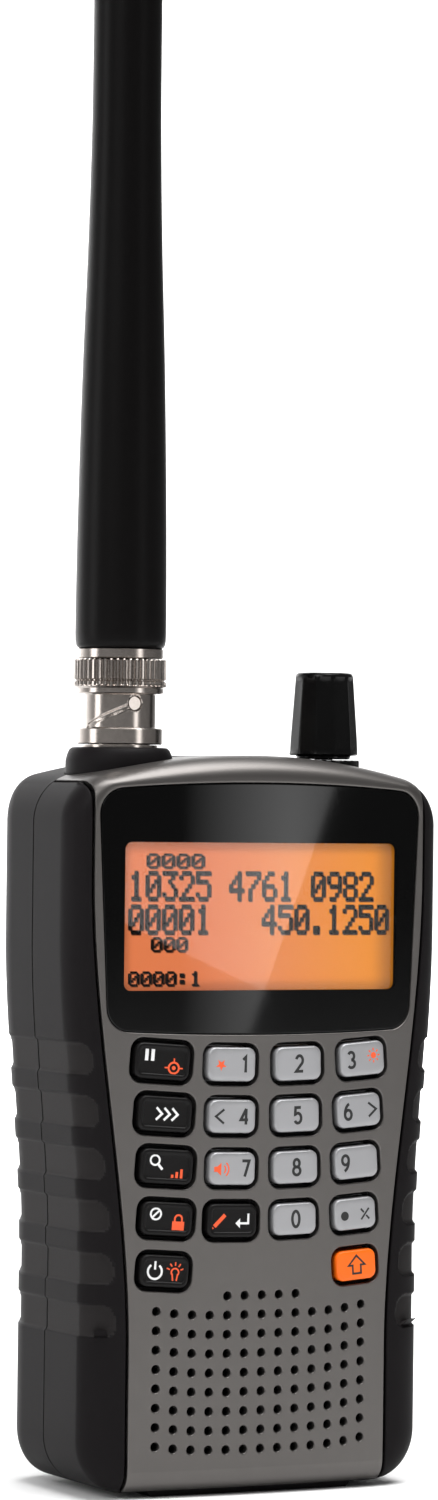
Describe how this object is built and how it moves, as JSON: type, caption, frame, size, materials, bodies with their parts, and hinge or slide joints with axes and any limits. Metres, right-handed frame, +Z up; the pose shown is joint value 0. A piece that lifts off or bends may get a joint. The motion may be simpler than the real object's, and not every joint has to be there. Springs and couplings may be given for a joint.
{
  "type": "handheld radio scanner",
  "caption": "Handheld radio scanner receiver with a backlit display, keypad, speaker grille, concentric top knob and a bayonet-fitted rubber antenna.",
  "frame": {"origin": "middle of the base at the underside of the feet, under the centre of the case", "axes": "+Z up through the antenna, the keypad faces -Y, +X towards the knob side"},
  "size_m": [0.065, 0.0349, 0.2916],
  "materials": {
    "case_black": "fine satin texture, moulded",
    "panel_grey": "satin metallic paint",
    "lens_black": "polished, clear window printed black round it",
    "lcd_amber": "backlit display with dark dots",
    "light_guide": "milky",
    "holder_white": "moulded",
    "key_dark": "satin with a raised rim",
    "key_silver": "satin silver paint",
    "key_orange": "satin",
    "mat_rubber": "silicone",
    "board_green": "solder mask",
    "chip_black": "moulded",
    "tin_plate": "tinned sheet",
    "speaker_steel": "plated",
    "cone_paper": "black",
    "grille_cloth": "fine woven",
    "knob_black": "satin gloss, fluted",
    "shaft_metal": "turned",
    "pot_green": "moulded",
    "nickel": "nickel plated, polished",
    "brass": "turned",
    "ptfe": "waxy white",
    "antenna_rubber": "satin moulded rubber",
    "copper": "enamelled winding",
    "jack_black": "moulded",
    "cell_jacket": "printed sleeve without marks",
    "spring_steel": "plated",
    "switch_white": "moulded",
    "screw_steel": "black zinc"
  },
  "bodies": {
    "case": {"front_case": "case_black", "rear_case": "case_black", "front_panel": "panel_grey", "display_lens": "lens_black", "lcd_glass": "lcd_amber", "lcd_backlight": "light_guide", "lcd_holder": "holder_white", "keypad_mat": "mat_rubber", "main_board": "board_green", "board_chips": "chip_black", "rf_shield": "tin_plate", "speaker_frame": "speaker_steel", "speaker_magnet": "speaker_steel", "speaker_cone": "cone_paper", "speaker_cloth": "grille_cloth", "control_body": "pot_green", "control_nut": "brass", "antenna_boss": "case_black", "antenna_socket": "nickel", "socket_nut": "brass", "socket_insulator": "ptfe", "socket_contact": "brass", "headphone_jack": "jack_black", "usb_socket": "tin_plate", "battery_cells": "cell_jacket", "battery_springs": "spring_steel", "battery_plates": "spring_steel", "clip_inserts": "brass", "case_screws": "screw_steel"},
    "key_hold": {"key_hold": "key_dark"},
    "key_scan": {"key_scan": "key_dark"},
    "key_search": {"key_search": "key_dark"},
    "key_lockout": {"key_lockout": "key_dark"},
    "key_power": {"key_power": "key_dark"},
    "key_1": {"key_1": "key_silver"},
    "key_4": {"key_4": "key_silver"},
    "key_7": {"key_7": "key_silver"},
    "key_program": {"key_program": "key_dark"},
    "key_2": {"key_2": "key_silver"},
    "key_5": {"key_5": "key_silver"},
    "key_8": {"key_8": "key_silver"},
    "key_0": {"key_0": "key_silver"},
    "key_3": {"key_3": "key_silver"},
    "key_6": {"key_6": "key_silver"},
    "key_9": {"key_9": "key_silver"},
    "key_clear": {"key_clear": "key_silver"},
    "key_function": {"key_function": "key_orange"},
    "volume": {"volume_knob": "knob_black", "volume_shaft": "shaft_metal"},
    "squelch": {"squelch_ring": "knob_black", "squelch_sleeve": "shaft_metal"},
    "antenna": {"plug_body": "nickel", "plug_insulator": "ptfe", "plug_pin": "brass", "antenna_sleeve": "antenna_rubber", "antenna_whip": "copper"},
    "coupling": {"coupling_ring": "nickel"},
    "battery_door": {"battery_door": "case_black"},
    "battery_switch": {"battery_switch": "switch_white"}
  },
  "joints": [
    {"name": "press_hold", "type": "slide", "parent": "case", "child": "key_hold", "axis": [0, 1, 0], "range_m": [0, 0.0008], "stiffness_N_per_m": 1500, "springref_m": -0.0002},
    {"name": "press_scan", "type": "slide", "parent": "case", "child": "key_scan", "axis": [0, 1, 0], "range_m": [0, 0.0008], "stiffness_N_per_m": 1500, "springref_m": -0.0002},
    {"name": "press_search", "type": "slide", "parent": "case", "child": "key_search", "axis": [0, 1, 0], "range_m": [0, 0.0008], "stiffness_N_per_m": 1500, "springref_m": -0.0002},
    {"name": "press_lockout", "type": "slide", "parent": "case", "child": "key_lockout", "axis": [0, 1, 0], "range_m": [0, 0.0008], "stiffness_N_per_m": 1500, "springref_m": -0.0002},
    {"name": "press_power", "type": "slide", "parent": "case", "child": "key_power", "axis": [0, 1, 0], "range_m": [0, 0.0008], "stiffness_N_per_m": 1500, "springref_m": -0.0002},
    {"name": "press_1", "type": "slide", "parent": "case", "child": "key_1", "axis": [0, 1, 0], "range_m": [0, 0.0008], "stiffness_N_per_m": 1500, "springref_m": -0.0002},
    {"name": "press_4", "type": "slide", "parent": "case", "child": "key_4", "axis": [0, 1, 0], "range_m": [0, 0.0008], "stiffness_N_per_m": 1500, "springref_m": -0.0002},
    {"name": "press_7", "type": "slide", "parent": "case", "child": "key_7", "axis": [0, 1, 0], "range_m": [0, 0.0008], "stiffness_N_per_m": 1500, "springref_m": -0.0002},
    {"name": "press_program", "type": "slide", "parent": "case", "child": "key_program", "axis": [0, 1, 0], "range_m": [0, 0.0008], "stiffness_N_per_m": 1500, "springref_m": -0.0002},
    {"name": "press_2", "type": "slide", "parent": "case", "child": "key_2", "axis": [0, 1, 0], "range_m": [0, 0.0008], "stiffness_N_per_m": 1500, "springref_m": -0.0002},
    {"name": "press_5", "type": "slide", "parent": "case", "child": "key_5", "axis": [0, 1, 0], "range_m": [0, 0.0008], "stiffness_N_per_m": 1500, "springref_m": -0.0002},
    {"name": "press_8", "type": "slide", "parent": "case", "child": "key_8", "axis": [0, 1, 0], "range_m": [0, 0.0008], "stiffness_N_per_m": 1500, "springref_m": -0.0002},
    {"name": "press_0", "type": "slide", "parent": "case", "child": "key_0", "axis": [0, 1, 0], "range_m": [0, 0.0008], "stiffness_N_per_m": 1500, "springref_m": -0.0002},
    {"name": "press_3", "type": "slide", "parent": "case", "child": "key_3", "axis": [0, 1, 0], "range_m": [0, 0.0008], "stiffness_N_per_m": 1500, "springref_m": -0.0002},
    {"name": "press_6", "type": "slide", "parent": "case", "child": "key_6", "axis": [0, 1, 0], "range_m": [0, 0.0008], "stiffness_N_per_m": 1500, "springref_m": -0.0002},
    {"name": "press_9", "type": "slide", "parent": "case", "child": "key_9", "axis": [0, 1, 0], "range_m": [0, 0.0008], "stiffness_N_per_m": 1500, "springref_m": -0.0002},
    {"name": "press_clear", "type": "slide", "parent": "case", "child": "key_clear", "axis": [0, 1, 0], "range_m": [0, 0.0008], "stiffness_N_per_m": 1500, "springref_m": -0.0002},
    {"name": "press_function", "type": "slide", "parent": "case", "child": "key_function", "axis": [0, 1, 0], "range_m": [0, 0.0008], "stiffness_N_per_m": 1500, "springref_m": -0.0002},
    {"name": "volume_turn", "type": "hinge", "parent": "case", "child": "volume", "pos_m": [0.0178, -0.0018, 0.11535], "axis": [0, 0, 1], "range_deg": [-150, 150]},
    {"name": "squelch_turn", "type": "hinge", "parent": "case", "child": "squelch", "pos_m": [0.0178, -0.0018, 0.11365], "axis": [0, 0, 1], "range_deg": [-150, 150]},
    {"name": "antenna_swivel", "type": "hinge", "parent": "case", "child": "antenna", "pos_m": [-0.0184, -0.0018, 0.12305], "axis": [0, 0, 1], "continuous": true},
    {"name": "coupling_turn", "type": "hinge", "parent": "case", "child": "coupling", "pos_m": [-0.0184, -0.0018, 0.12305], "axis": [0, 0, 1], "range_deg": [0, 90]},
    {"name": "battery_door_slide", "type": "slide", "parent": "case", "child": "battery_door", "axis": [0, 0, -1], "range_m": [0, 0.06]},
    {"name": "battery_switch_slide", "type": "slide", "parent": "case", "child": "battery_switch", "axis": [1, 0, 0], "range_m": [0, 0.0026]}
  ]
}
